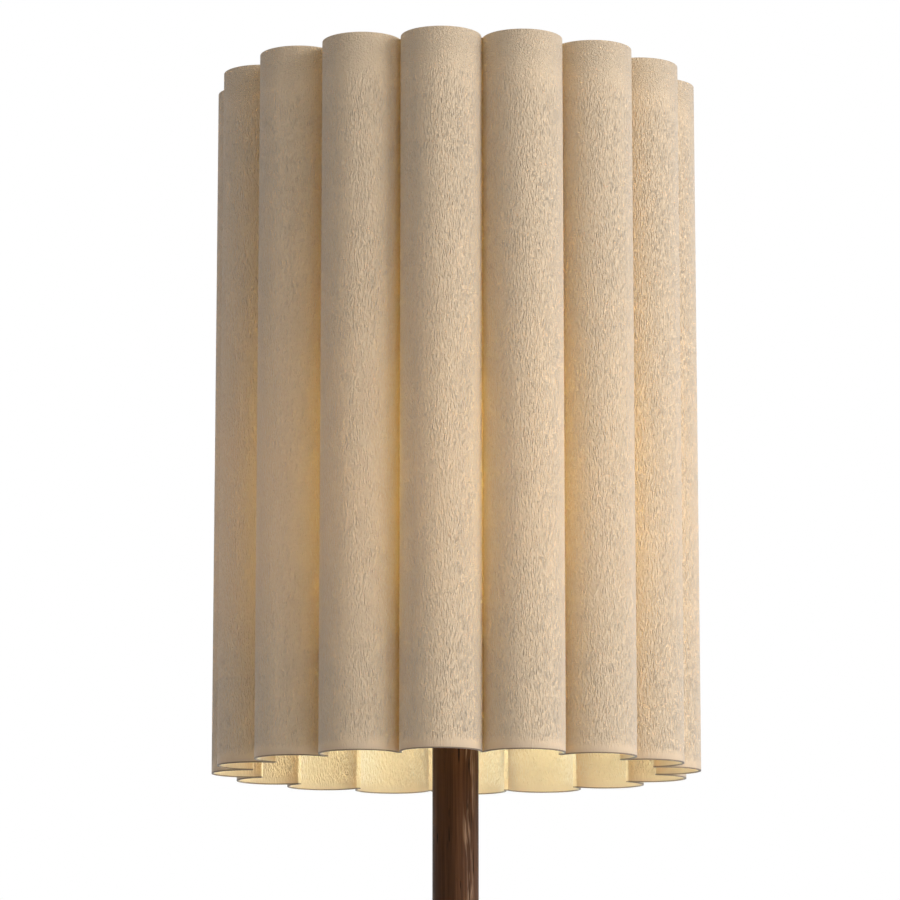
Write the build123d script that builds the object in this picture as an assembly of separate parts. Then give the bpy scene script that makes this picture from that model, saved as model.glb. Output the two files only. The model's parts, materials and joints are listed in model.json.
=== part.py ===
from build123d import *
import math
import os

# Wooden floor lamp: a weighted wooden base, a round pole with a threaded tube inside it,
# a lamp holder with a turn switch, and a fluted shade on a wire carrier.
# Lengths are in millimetres. The origin is the centre of the underside, on the floor.
# +Z is up, the front is -Y, and the cord leaves the base at the back, +Y.

# Base
felt_thickness = 2.0
felt_inset = 3.0
base_radius = 140.0
base_thickness = 30.0
base_top_round = 9.0
base_foot_chamfer = 1.5
base_rim_width = 24.0
weight_thickness = 18.0
weight_clearance = 0.6
weight_chamfer = 1.0
nut_pocket_radius = 17.0
nut_pocket_depth = 13.0
base_washer_radius = 14.0
base_washer_thickness = 1.5
base_nut_thickness = 4.5
screw_count = 4
screw_circle_radius = 85.0
screw_shank_radius = 2.0
screw_head_radius = 4.0
screw_bite = 8.0
screw_tip_length = 3.0
screw_slot_width = 1.0
screw_slot_length = 5.0
screw_slot_depth = 1.0
screw_head_clearance = 0.3

# Cord bushing in the rear of the base
bushing_height = 9.0
bushing_bore_radius = 3.6
bushing_wall = 1.6
bushing_flange_radius = 7.5
bushing_flange_thickness = 2.5
bushing_flange_sink = 2.0
bushing_mouth_round = 1.0
bushing_fit = 0.1
bushing_recess_clearance = 0.5
groove_clearance = 1.4

# Pole and the threaded tube inside it
pole_radius = 15.0
pole_lower_length = 520.0
pole_upper_length = 526.0
pole_seat_depth = 3.0
pole_seat_clearance = 0.15
pole_joint_chamfer = 0.6
pole_top_chamfer = 1.0
pipe_radius = 5.0
pipe_wall = 1.1
pipe_below_nut = 1.0
pipe_above_cap_floor = 1.0
pipe_end_gap = 0.5
pole_bore_clearance = 1.0
thread_fit = 0.05
coupler_wall = 2.0
coupler_length = 30.0
coupler_clearance = 0.2
coupler_end_clearance = 1.0
pole_cap_inset = 0.5
pole_cap_thickness = 2.5
pole_cap_round = 1.0
nut_across_flats = 14.0
nut_chamfer = 0.6
locknut_thickness = 4.0

# Lamp holder cap, screwed on the tube
holder_radius = 20.0
holder_wall = 2.4
cap_neck_radius = 8.0
cap_neck_height = 5.0
cap_flare_height = 4.5
cap_shoulder_rise = 1.1
cap_floor_thickness = 7.5
cap_inner_slope = 4.0
cap_height = 28.5
cap_lip_height = 2.0
spigot_radius = 17.8
spigot_wall = 2.0
spigot_height = 6.0
grub_radius = 1.5
grub_slot_width = 0.6
grub_slot_depth = 0.8

# Turn switch in the side of the holder cap, on a spindle along +X
spindle_radius = 1.5
spindle_fit = 0.05
spindle_height = 17.0
switch_inner_x = 4.0
switch_length = 10.5
switch_width = 14.0
switch_block_height = 11.0
switch_socket_depth = 7.0
switch_bushing_radius = 3.5
switch_boss_radius = 6.5
switch_boss_reach = 1.5
switch_nut_across_flats = 10.0
switch_nut_thickness = 2.0
switch_bushing_stand = 1.0
knob_gap = 0.5
knob_radius = 6.5
knob_length = 12.0
knob_skin = 1.5
knob_flutes = 12
knob_flute_radius = 0.9
knob_round = 1.2
knob_mark_width = 0.8
knob_mark_depth = 0.4

# Contact block and terminals in the holder
block_radius = 15.4
block_depth = 12.0
block_flange_thickness = 3.5
block_flange_clearance = 0.4
terminal_length = 6.0
terminal_width = 5.0
terminal_height = 7.0
terminal_centre_x = 9.0
terminal_spacing = 12.0
terminal_screw_radius = 1.5
terminal_head_radius = 2.2
terminal_head_thickness = 1.6
contact_height = 4.5
contact_width = 5.0
contact_thickness = 0.6
contact_foot = 4.0
contact_reach = 7.0

# Threaded skirt of the holder, the ring nut that clamps the shade on it
skirt_height = 40.0
skirt_wall = 2.1
skirt_shoulder_radius = 23.0
skirt_shoulder_thickness = 2.5
skirt_fit = 0.2
skirt_ledge_thickness = 1.9
skirt_thread_pitch = 2.5
skirt_thread_depth = 0.7
skirt_thread_crest = 0.8
skirt_thread_turns = 12
skirt_top_plain = 3.0
ring_nut_height = 6.0
ring_nut_radius = 27.0
ring_nut_fit = 0.15
ring_nut_flutes = 20
ring_nut_flute_radius = 1.4

# Screw thread shared by the lamp bulb and the shell that takes it
bulb_thread_radius = 12.63
bulb_thread_depth = 0.47
bulb_thread_pitch = 3.63
bulb_thread_start = 5.0
shell_thread_clearance = 0.25
shell_wall = 0.5
shell_plain_top = 1.7
shell_half_turns = 9

# Lamp bulb
bulb_seat_gap = 0.05
bulb_cap_wall = 0.4
bulb_cap_half_turns = 10
bulb_cap_collar_radius = 13.4
bulb_cap_collar_height = 4.0
bulb_contact_radius = 4.5
bulb_contact_thickness = 1.2
bulb_cone_radius = 8.8
bulb_cone_height = 2.8
bulb_globe_radius = 30.0
bulb_globe_height = 78.0
bulb_neck_clearance = 0.2
bulb_neck_gap = 0.1
bulb_neck_straight = 1.5
bulb_glass_wall = 1.0
bulb_shoulder_angle = 35.0

# Shade carrier: a ring on the holder, four wire arms and two wire hoops
ring_thickness = 2.0
ring_radius = 27.0
ring_bore_clearance = 0.3
ring_float = 0.1
wire_radius = 1.6
weld_gap = 0.05
hoop_seat_gap = 0.2
arm_count = 4
upper_hoop_inset = 12.0

# Fluted shade: one folded sheet with round lobes and tight folds between them
lobe_count = 16
lobe_pitch = 52.0
fold_gap = 0.4
fold_floor_rise = 1.8
sheet_thickness = 1.2
shade_height = 455.0
shade_drop = 67.6

# How far a cutting tool runs past the face that it cuts
overshoot = 1.0

# Heights in the base
base_z = felt_thickness
base_top_z = base_z + base_thickness
weight_top_z = base_z + weight_thickness
nut_pocket_z = base_z + nut_pocket_depth
base_washer_z = nut_pocket_z - base_washer_thickness
base_nut_z = base_washer_z - base_nut_thickness
pipe_bottom_z = base_nut_z - pipe_below_nut
bushing_z = base_z + bushing_height

# Radii in the base
base_pocket_radius = base_radius - base_rim_width
weight_radius = base_pocket_radius - weight_clearance
bushing_radius = bushing_bore_radius + bushing_wall
bushing_seat_y = base_radius - bushing_flange_sink
groove_half_width = bushing_bore_radius + groove_clearance
groove_top_z = bushing_z + groove_half_width - overshoot

# Heights along the pole
pole_bottom_z = base_top_z - pole_seat_depth
pole_joint_z = pole_bottom_z + pole_lower_length
pole_top_z = pole_joint_z + pole_upper_length
pole_cap_z = pole_top_z
locknut_z = pole_cap_z + pole_cap_thickness
pipe_hole_radius = pipe_radius + pole_bore_clearance
coupler_radius = pipe_radius + coupler_wall
coupler_pocket_depth = coupler_length / 2 + coupler_end_clearance

# Heights in the lamp holder
holder_z = locknut_z + locknut_thickness
cap_floor_z = holder_z + cap_floor_thickness
cap_top_z = holder_z + cap_height
spigot_top_z = cap_top_z + spigot_height
cap_inner_radius = holder_radius - holder_wall
spigot_inner_radius = spigot_radius - spigot_wall
pipe_top_z = cap_floor_z + pipe_above_cap_floor
spindle_z = holder_z + spindle_height
block_bottom_z = spigot_top_z - block_depth
block_top_z = spigot_top_z + block_flange_thickness
skirt_top_z = cap_top_z + skirt_height
skirt_inner_radius = spigot_radius + skirt_fit
shoulder_top_z = cap_top_z + skirt_shoulder_thickness
skirt_core_radius = holder_radius - skirt_thread_depth

# Places along the switch spindle
switch_face_x = switch_inner_x + switch_length
switch_boss_x = holder_radius + switch_boss_reach
switch_nut_x = switch_boss_x + switch_nut_thickness
switch_bushing_x = switch_nut_x + switch_bushing_stand
knob_x = switch_bushing_x + knob_gap
knob_end_x = knob_x + knob_length
spindle_end_x = knob_end_x - knob_skin
spindle_start_x = switch_face_x - switch_socket_depth

# Heights in the bulb
bulb_z = block_top_z + contact_height
bulb_thread_z = bulb_z + bulb_thread_start
bulb_thread_top_z = bulb_thread_z + bulb_cap_half_turns * bulb_thread_pitch / 2
bulb_cap_top_z = bulb_thread_top_z + bulb_cap_collar_height
bulb_globe_z = bulb_z + bulb_globe_height

# The fluted outline: where the lobes are centred, and how far out the folds are closed
lobe_half_angle = math.pi / lobe_count
lobe_circle_radius = lobe_pitch / (2 * math.sin(lobe_half_angle))
lobe_radius = (lobe_pitch - fold_gap) / 2
fold_radius = lobe_circle_radius * math.cos(lobe_half_angle) + fold_floor_rise
ridge_radius = fold_radius - sheet_thickness
hoop_radius = ridge_radius - hoop_seat_gap - wire_radius

# Heights of the shade and its carrier
ring_z = shoulder_top_z + ring_float
ring_top_z = ring_z + ring_thickness
wire_z = ring_z + ring_thickness / 2
ring_nut_z = ring_top_z + ring_float
shade_bottom_z = ring_z - shade_drop
shade_top_z = shade_bottom_z + shade_height
upper_hoop_z = shade_top_z - upper_hoop_inset

upright = (Align.CENTER, Align.CENTER, Align.MIN)


def rod(radius, low, high):
    """Upright cylinder on the pole's axis between two heights."""
    return Pos(0, 0, low) * Cylinder(radius, high - low, align=upright)


def tube(outer_radius, inner_radius, low, high):
    """Upright tube on the pole's axis between two heights."""
    return rod(outer_radius, low, high) - rod(inner_radius, low - overshoot, high + overshoot)


def lying_rod(radius, start_x, end_x, height):
    """Cylinder along +X at the given height."""
    return Pos(start_x, 0, height) * Rot(0, 90, 0) * Cylinder(radius, end_x - start_x, align=upright)


def spun(outline):
    """Solid of revolution about the pole's axis from a closed outline of (radius, height)."""
    return revolve(make_face(Plane.XZ * Polyline(*outline, close=True)), Axis.Z)


def hex_nut(across_flats, bore_radius, thickness):
    """Hexagonal nut standing on the plane z = 0, with both ends of its outside chamfered."""
    prism = extrude(RegularPolygon(across_flats / 2, 6, major_radius=False), thickness)
    corner_radius = across_flats / math.sqrt(3)
    blank = chamfer(Cylinder(corner_radius, thickness, align=upright).edges(), nut_chamfer)
    return (prism & blank) - Pos(0, 0, -overshoot) * Cylinder(
        bore_radius, thickness + 2 * overshoot, align=upright)


def ring_places(count, radius, start_angle=0.0):
    """Places spaced evenly round the pole's axis, each turned with its angle."""
    return [Rot(0, 0, start_angle + turn * 360 / count) * Pos(radius, 0, 0) for turn in range(count)]


def screw_places():
    """Places of the screws that hold the weight, clear of the cord's groove at the back."""
    return ring_places(screw_count, screw_circle_radius, 180 / screw_count)


def felt_pad():
    return rod(base_radius - felt_inset, 0, felt_thickness)


def bushing_axis(start_y):
    """Place on the bushing's axis, with local +Z pointing out of the back of the base."""
    return Pos(0, start_y, bushing_z) * Rot(-90, 0, 0)


def base_disc():
    disc = rod(base_radius, base_z, base_top_z)
    disc = fillet(disc.edges().sort_by(Axis.Z)[-1], base_top_round)
    disc = chamfer(disc.edges().sort_by(Axis.Z)[0], base_foot_chamfer)
    disc -= rod(base_pocket_radius, base_z - overshoot, weight_top_z)
    disc -= rod(pipe_hole_radius, base_z, base_top_z + overshoot)
    disc -= rod(pole_radius + pole_seat_clearance, pole_bottom_z, base_top_z + overshoot)
    disc -= bushing_axis(0) * Cylinder(bushing_radius + bushing_fit, base_radius, align=upright)
    disc -= bushing_axis(bushing_seat_y) * Cylinder(
        bushing_flange_radius + bushing_recess_clearance, base_rim_width, align=upright)
    for place in screw_places():
        disc -= place * rod(screw_shank_radius + thread_fit, base_z, weight_top_z + screw_bite)
    return disc


def countersink(clearance):
    """Cone of a countersunk head, widest at the underside of the weight."""
    radius = screw_head_radius + clearance
    height = radius - screw_shank_radius
    return Pos(0, 0, base_z) * Cone(radius, screw_shank_radius, height, align=upright)


def base_weight():
    weight = rod(weight_radius, base_z, weight_top_z)
    weight = chamfer(weight.edges(), weight_chamfer)
    weight -= rod(pipe_hole_radius, base_z, weight_top_z + overshoot)
    weight -= rod(nut_pocket_radius, base_z - overshoot, nut_pocket_z)
    weight -= Pos(0, 0, base_z - overshoot) * Box(
        2 * groove_half_width, base_radius, groove_top_z - base_z + overshoot,
        align=(Align.CENTER, Align.MIN, Align.MIN))
    for place in screw_places():
        weight -= place * rod(screw_shank_radius + screw_head_clearance, base_z, weight_top_z + overshoot)
        weight -= place * countersink(screw_head_clearance)
    return weight


def weight_screws():
    head_z = base_z + screw_head_radius - screw_shank_radius
    tip_z = weight_top_z + screw_bite
    screw = countersink(0) + rod(screw_shank_radius, head_z, tip_z - screw_tip_length)
    screw += Pos(0, 0, tip_z - screw_tip_length) * Cone(
        screw_shank_radius, screw_slot_depth / 2, screw_tip_length - thread_fit, align=upright)
    slot = Pos(0, 0, base_z) * Box(screw_slot_width, screw_slot_length, 2 * screw_slot_depth)
    screw -= slot
    screw -= Rot(0, 0, 90) * slot
    return Compound(children=[place * screw for place in screw_places()])


def cord_bushing():
    sleeve_length = bushing_seat_y - base_pocket_radius
    outer_y = bushing_seat_y + bushing_flange_thickness
    sleeve = bushing_axis(base_pocket_radius) * Cylinder(bushing_radius, sleeve_length, align=upright)
    flange = bushing_axis(bushing_seat_y) * Cylinder(
        bushing_flange_radius, bushing_flange_thickness, align=upright)
    flange = fillet(flange.edges().sort_by(Axis.Y)[-1], bushing_mouth_round)
    body = sleeve + flange
    body -= bushing_axis(base_pocket_radius - overshoot) * Cylinder(
        bushing_bore_radius, base_radius, align=upright)
    mouth = body.edges().filter_by(GeomType.CIRCLE).filter_by(
        lambda edge: abs(edge.center().Y - outer_y) < thread_fit).sort_by(SortBy.RADIUS)[0]
    return fillet(mouth, bushing_mouth_round)


def base_washer():
    return tube(base_washer_radius, pipe_radius + coupler_clearance, base_washer_z, nut_pocket_z)


def base_nut():
    return Pos(0, 0, base_nut_z) * hex_nut(nut_across_flats, pipe_radius + thread_fit, base_nut_thickness)


def pipe_lower():
    return tube(pipe_radius, pipe_radius - pipe_wall, pipe_bottom_z, pole_joint_z - pipe_end_gap / 2)


def pipe_upper():
    return tube(pipe_radius, pipe_radius - pipe_wall, pole_joint_z + pipe_end_gap / 2, pipe_top_z)


def pipe_coupler():
    half = coupler_length / 2
    blank = rod(coupler_radius, pole_joint_z - half, pole_joint_z + half)
    blank = chamfer(blank.edges(), coupler_clearance)
    return blank - rod(pipe_radius + thread_fit, pole_joint_z - coupler_length,
                       pole_joint_z + coupler_length)


def pole_lower():
    pole = rod(pole_radius, pole_bottom_z, pole_joint_z)
    pole = chamfer(pole.edges().sort_by(Axis.Z)[-1], pole_joint_chamfer)
    pole -= rod(pipe_hole_radius, pole_bottom_z - overshoot, pole_joint_z + overshoot)
    pole -= rod(coupler_radius + coupler_clearance, pole_joint_z - coupler_pocket_depth,
                pole_joint_z + overshoot)
    return pole


def pole_upper():
    pole = rod(pole_radius, pole_joint_z, pole_top_z)
    pole = chamfer(pole.edges().sort_by(Axis.Z)[0], pole_joint_chamfer)
    pole = chamfer(pole.edges().sort_by(Axis.Z)[-1], pole_top_chamfer)
    pole -= rod(pipe_hole_radius, pole_joint_z - overshoot, pole_top_z + overshoot)
    pole -= rod(coupler_radius + coupler_clearance, pole_joint_z - overshoot,
                pole_joint_z + coupler_pocket_depth)
    return pole


def pole_cap():
    cap = rod(pole_radius - pole_cap_inset, pole_cap_z, locknut_z)
    cap = fillet(cap.edges().sort_by(Axis.Z)[-1], pole_cap_round)
    return cap - rod(pipe_radius + coupler_clearance, pole_cap_z - overshoot, locknut_z + overshoot)


def holder_locknut():
    return Pos(0, 0, locknut_z) * hex_nut(nut_across_flats, pipe_radius + thread_fit, locknut_thickness)


def grub_axis(start_y):
    """Place on the locking screw's axis in the cap's neck, local +Z pointing to the front."""
    return Pos(0, -start_y, holder_z + cap_neck_height / 2) * Rot(90, 0, 0)


def holder_cap():
    neck_top_z = holder_z + cap_neck_height
    flare_top_z = neck_top_z + cap_flare_height
    lip_z = cap_top_z - cap_lip_height
    body = spun([
        (0, holder_z), (cap_neck_radius, holder_z), (cap_neck_radius, neck_top_z),
        (holder_radius - cap_flare_height, neck_top_z + cap_shoulder_rise),
        (holder_radius, flare_top_z), (holder_radius, cap_top_z),
        (spigot_radius, cap_top_z), (spigot_radius, spigot_top_z), (0, spigot_top_z)])
    body += lying_rod(switch_boss_radius, 0, switch_boss_x, spindle_z)
    body -= spun([
        (0, cap_floor_z), (cap_inner_radius - cap_inner_slope, cap_floor_z),
        (cap_inner_radius, cap_floor_z + cap_inner_slope), (cap_inner_radius, lip_z),
        (spigot_inner_radius, lip_z), (spigot_inner_radius, spigot_top_z + overshoot),
        (0, spigot_top_z + overshoot)])
    body -= rod(pipe_radius + thread_fit, holder_z - overshoot, cap_floor_z + overshoot)
    body -= lying_rod(switch_bushing_radius + bushing_fit, 0, switch_boss_x + overshoot, spindle_z)
    body -= grub_axis(0) * Cylinder(grub_radius + thread_fit, 2 * cap_neck_radius, align=upright)
    return body


def entry_grub_screw():
    start = pipe_radius + 2 * thread_fit
    screw = grub_axis(start) * Cylinder(grub_radius, cap_neck_radius - start, align=upright)
    slot = Pos(0, -cap_neck_radius, holder_z + cap_neck_height / 2) * Box(
        2 * grub_radius, 2 * grub_slot_depth, grub_slot_width)
    return screw - slot


def switch_body():
    block = Pos(switch_inner_x, 0, block_bottom_z) * Box(
        switch_length, switch_width, switch_block_height, align=(Align.MIN, Align.CENTER, Align.MAX))
    block = chamfer(block.edges().filter_by(Axis.Z), overshoot)
    return block - lying_rod(spindle_radius + spindle_fit, spindle_start_x - spindle_fit,
                             switch_face_x + overshoot, spindle_z)


def switch_bushing():
    body = lying_rod(switch_bushing_radius, switch_face_x, switch_bushing_x, spindle_z)
    return body - lying_rod(spindle_radius + spindle_fit, 0, knob_x, spindle_z)


def switch_nut():
    nut = hex_nut(switch_nut_across_flats, switch_bushing_radius + thread_fit, switch_nut_thickness)
    return Pos(switch_boss_x, 0, spindle_z) * Rot(0, 90, 0) * nut


def switch_spindle():
    return lying_rod(spindle_radius, spindle_start_x, spindle_end_x, spindle_z)


def switch_knob():
    knob = lying_rod(knob_radius, knob_x, knob_end_x, spindle_z)
    knob = fillet(knob.edges().sort_by(Axis.X)[-1], knob_round)
    for turn in range(knob_flutes):
        flute = Pos(0, 0, knob_radius) * lying_rod(knob_flute_radius, knob_x - overshoot, knob_end_x, 0)
        knob -= Pos(0, 0, spindle_z) * Rot((turn + 0.5) * 360 / knob_flutes, 0, 0) * flute
    knob -= lying_rod(spindle_radius + thread_fit, knob_x - overshoot, spindle_end_x + thread_fit,
                      spindle_z)
    mark = Pos(knob_end_x, 0, spindle_z + knob_radius / 2) * Box(
        2 * knob_mark_depth, knob_mark_width, knob_radius - 2 * knob_round)
    return knob - mark


def contact_block():
    block = rod(block_radius, block_bottom_z, spigot_top_z + overshoot)
    block += rod(skirt_inner_radius - block_flange_clearance, spigot_top_z, block_top_z)
    return block


def terminal_places():
    """Places of the two terminals, on the far side of the block from the switch."""
    return [Pos(-terminal_centre_x, side * terminal_spacing / 2, block_bottom_z) for side in (-1, 1)]


def terminal_blocks():
    block = Box(terminal_length, terminal_width, terminal_height,
                align=(Align.CENTER, Align.CENTER, Align.MAX))
    block -= Pos(-terminal_length, 0, -terminal_height / 2) * Rot(0, 90, 0) * Cylinder(
        terminal_screw_radius + thread_fit, terminal_length, align=upright)
    return Compound(children=[place * block for place in terminal_places()])


def terminal_screws():
    shank_length = terminal_length / 2 - thread_fit
    shank = Rot(0, -90, 0) * Cylinder(terminal_screw_radius, shank_length, align=upright)
    head = Pos(-shank_length, 0, 0) * Rot(0, -90, 0) * Cylinder(
        terminal_head_radius, terminal_head_thickness, align=upright)
    slot = Pos(-shank_length - terminal_head_thickness, 0, 0) * Box(
        terminal_head_thickness, 2 * terminal_head_radius, grub_slot_width)
    screw = Pos(-thread_fit, 0, -terminal_height / 2) * (shank + head - slot)
    return Compound(children=[place * screw for place in terminal_places()])


def centre_contact():
    half = contact_thickness / 2
    low = block_top_z + half
    high = bulb_z - bulb_seat_gap - half
    line = Plane.XZ * Polyline(
        (-contact_reach, low), (-contact_reach + contact_foot, low),
        (contact_reach - contact_foot, high), (contact_reach, high))
    strip = make_face(offset(line, half, side=Side.BOTH, kind=Kind.INTERSECTION).edges())
    return extrude(strip, contact_width / 2, both=True)


def holder_skirt():
    plain_radius = skirt_core_radius
    ledge_z = block_top_z + ring_float
    inner_radius = skirt_core_radius - skirt_wall
    body = spun([
        (skirt_inner_radius, cap_top_z), (skirt_shoulder_radius, cap_top_z),
        (skirt_shoulder_radius, shoulder_top_z), (holder_radius, shoulder_top_z),
        (holder_radius, ring_nut_z), (plain_radius, ring_nut_z), (plain_radius, skirt_top_z),
        (inner_radius, skirt_top_z), (inner_radius, ledge_z + skirt_ledge_thickness),
        (block_radius, ledge_z + skirt_ledge_thickness), (block_radius, ledge_z),
        (skirt_inner_radius, ledge_z)])
    half_pitch = skirt_thread_pitch / 2
    half_crest = skirt_thread_crest / 2
    first_z = skirt_top_z - skirt_top_plain - skirt_thread_turns * skirt_thread_pitch
    for turn in range(skirt_thread_turns):
        crest_z = first_z + (turn + 0.5) * skirt_thread_pitch
        body += spun([
            (plain_radius - skirt_wall / 2, crest_z - half_pitch), (plain_radius, crest_z - half_pitch),
            (holder_radius, crest_z - half_crest), (holder_radius, crest_z + half_crest),
            (plain_radius, crest_z + half_pitch), (plain_radius - skirt_wall / 2, crest_z + half_pitch)])
    return body


def shade_ring_nut():
    nut = rod(ring_nut_radius, ring_nut_z, ring_nut_z + ring_nut_height)
    nut = chamfer(nut.edges().sort_by(Axis.Z)[-1], nut_chamfer)
    low = ring_nut_z - overshoot
    high = ring_nut_z + ring_nut_height + overshoot
    nut -= rod(holder_radius + ring_nut_fit, low, high)
    for place in ring_places(ring_nut_flutes, ring_nut_radius):
        nut -= place * rod(ring_nut_flute_radius, low, high)
    return nut


def thread_wave(mean_radius, half_turns):
    """Edges of a rounded thread's outline, from the thread's start upwards."""
    half_pitch = bulb_thread_pitch / 2
    edges = []
    for turn in range(half_turns):
        low = bulb_thread_z + turn * half_pitch
        bulge = bulb_thread_depth if turn % 2 == 0 else -bulb_thread_depth
        edges.append(ThreePointArc(
            (mean_radius, low), (mean_radius + bulge, low + half_pitch / 2),
            (mean_radius, low + half_pitch)))
    return edges


def threaded_shell(mean_radius, wall, half_turns, below, above):
    """Thin shell with a rounded thread; below and above are outline points that continue it."""
    top_z = bulb_thread_z + half_turns * bulb_thread_pitch / 2
    inside = [(radius, height) for radius, height in below] + [(mean_radius, bulb_thread_z)]
    outside = [(radius + wall, height) for radius, height in inside]
    inside_top = [(mean_radius, top_z)] + list(above)
    outside_top = [(radius + wall, height) for radius, height in inside_top]
    edges = [Polyline(*inside), Polyline(*outside), Polyline(*inside_top), Polyline(*outside_top)]
    edges += thread_wave(mean_radius, half_turns) + thread_wave(mean_radius + wall, half_turns)
    edges += [Line(inside[0], outside[0]), Line(inside_top[-1], outside_top[-1])]
    return revolve(make_face(Plane.XZ * Curve(children=edges)), Axis.Z)


def screw_shell():
    radius = bulb_thread_radius + shell_thread_clearance
    top_z = bulb_thread_z + shell_half_turns * bulb_thread_pitch / 2 + shell_plain_top
    return threaded_shell(radius, shell_wall, shell_half_turns, [(radius, block_top_z)],
                          [(radius + bulb_thread_depth, top_z)])


def bulb_cap():
    radius = bulb_thread_radius - bulb_cap_wall
    collar = bulb_cap_collar_radius - bulb_cap_wall
    lip_z = bulb_z + bulb_contact_thickness + bulb_cone_height / 2
    return threaded_shell(radius, bulb_cap_wall, bulb_cap_half_turns,
                          [(bulb_cone_radius + thread_fit, lip_z)],
                          [(collar, bulb_thread_top_z + bulb_cap_collar_height / 2),
                           (collar, bulb_cap_top_z)])


def bulb_contact():
    tip = rod(bulb_contact_radius, bulb_z, bulb_z + bulb_contact_thickness)
    return chamfer(tip.edges().sort_by(Axis.Z)[0], bulb_contact_thickness / 2)


def bulb_insulator():
    low = bulb_z + bulb_contact_thickness
    middle = low + bulb_cone_height / 2
    high = low + bulb_cone_height
    return spun([(0, low), (bulb_contact_radius + overshoot, low), (bulb_cone_radius, middle),
                 (bulb_cone_radius, high), (0, high)])


def globe_outline(globe_radius, neck_radius, neck_top_z):
    """Half outline of the globe as one filled face, from the crown down to the open neck."""
    angle = math.radians(bulb_shoulder_angle)
    shoulder = (globe_radius * math.cos(angle), bulb_globe_z - globe_radius * math.sin(angle))
    neck_top = (neck_radius, neck_top_z)
    foot_z = bulb_thread_top_z + bulb_cap_collar_height / 2 + bulb_neck_gap
    crown = CenterArc((0, bulb_globe_z), globe_radius, -bulb_shoulder_angle, 90 + bulb_shoulder_angle)
    sweep = Spline(shoulder, neck_top, tangents=[(-math.sin(angle), -math.cos(angle)), (0, -1)])
    sides = Polyline(neck_top, (neck_radius, foot_z), (0, foot_z), (0, bulb_globe_z + globe_radius))
    return revolve(make_face(Plane.XZ * Curve(children=[crown, sweep, sides])), Axis.Z)


def bulb_globe():
    neck_radius = bulb_cap_collar_radius - bulb_cap_wall - bulb_neck_clearance
    neck_top_z = bulb_cap_top_z + bulb_neck_straight
    outside = globe_outline(bulb_globe_radius, neck_radius, neck_top_z)
    inside = globe_outline(bulb_globe_radius - bulb_glass_wall, neck_radius - bulb_glass_wall, neck_top_z)
    return outside - inside


def carrier_ring():
    return tube(ring_radius, holder_radius + ring_bore_clearance, ring_z, ring_top_z)


def hoop(height, extra_radius=0.0):
    """Wire hoop that lies against the inner ridges of the shade."""
    return Pos(0, 0, height) * Torus(hoop_radius, wire_radius + extra_radius)


def arm_places():
    """Turns that put each arm's end at an inner ridge of the shade."""
    ridge_angle = math.degrees(lobe_half_angle)
    return [Rot(0, 0, ridge_angle + turn * 360 / arm_count) for turn in range(arm_count)]


def carrier_arms():
    arm = lying_rod(wire_radius, 0, hoop_radius, wire_z)
    arm -= rod(ring_radius + weld_gap, ring_z - ring_thickness, ring_top_z + ring_thickness)
    arm -= hoop(wire_z, weld_gap)
    return Compound(children=[place * arm for place in arm_places()])


def lower_hoop():
    return hoop(wire_z)


def upper_hoop():
    return hoop(upper_hoop_z)


def fluted_face(radius, floor_radius):
    """Round face with a ring of lobes on it."""
    lobes = PolarLocations(lobe_circle_radius, lobe_count) * Circle(radius)
    return Circle(floor_radius) + lobes


def shade_skin():
    outer = fluted_face(lobe_radius, fold_radius)
    inner = fluted_face(lobe_radius - sheet_thickness, ridge_radius)
    return Pos(0, 0, shade_bottom_z) * extrude(outer - inner, shade_height)


sub_parts = [
    felt_pad, base_disc, base_weight, weight_screws, cord_bushing, base_washer, base_nut,
    pipe_lower, pipe_coupler, pipe_upper, pole_lower, pole_upper, pole_cap, holder_locknut,
    holder_cap, entry_grub_screw, switch_body, switch_bushing, switch_nut, switch_spindle,
    switch_knob, contact_block, terminal_blocks, terminal_screws, centre_contact, holder_skirt,
    shade_ring_nut, screw_shell, bulb_cap, bulb_contact, bulb_insulator, bulb_globe,
    carrier_ring, carrier_arms, lower_hoop, upper_hoop, shade_skin]

os.makedirs("parts", exist_ok=True)
for make in sub_parts:
    export_step(make(), f"parts/{make.__name__}.step")
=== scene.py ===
"""Wooden floor lamp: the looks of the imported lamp, its lights, its camera and its floor."""

import json
import logging
import math
from dataclasses import dataclass
from enum import Enum
from typing import Callable, Iterable, Sequence

import bmesh
import bpy
from mathutils import Euler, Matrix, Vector

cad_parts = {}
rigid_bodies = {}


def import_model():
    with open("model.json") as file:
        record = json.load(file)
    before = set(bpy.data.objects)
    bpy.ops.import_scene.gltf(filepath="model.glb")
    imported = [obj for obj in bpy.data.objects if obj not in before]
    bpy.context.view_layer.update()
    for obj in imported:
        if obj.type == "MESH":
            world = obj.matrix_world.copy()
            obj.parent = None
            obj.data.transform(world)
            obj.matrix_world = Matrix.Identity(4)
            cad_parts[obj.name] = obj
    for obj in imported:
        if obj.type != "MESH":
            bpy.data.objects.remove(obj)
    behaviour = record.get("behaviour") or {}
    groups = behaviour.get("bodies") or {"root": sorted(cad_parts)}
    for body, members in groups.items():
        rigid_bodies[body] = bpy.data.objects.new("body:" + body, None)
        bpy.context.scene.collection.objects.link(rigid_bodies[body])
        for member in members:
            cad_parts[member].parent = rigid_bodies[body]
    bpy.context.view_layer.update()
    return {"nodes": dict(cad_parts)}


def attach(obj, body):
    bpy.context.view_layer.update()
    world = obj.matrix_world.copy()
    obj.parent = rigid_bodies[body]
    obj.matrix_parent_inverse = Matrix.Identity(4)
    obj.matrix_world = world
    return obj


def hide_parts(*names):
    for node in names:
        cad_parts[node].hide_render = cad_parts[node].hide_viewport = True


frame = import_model()

logging.basicConfig(level=logging.INFO, format="%(message)s")
LOG = logging.getLogger("floor_lamp")

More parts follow.
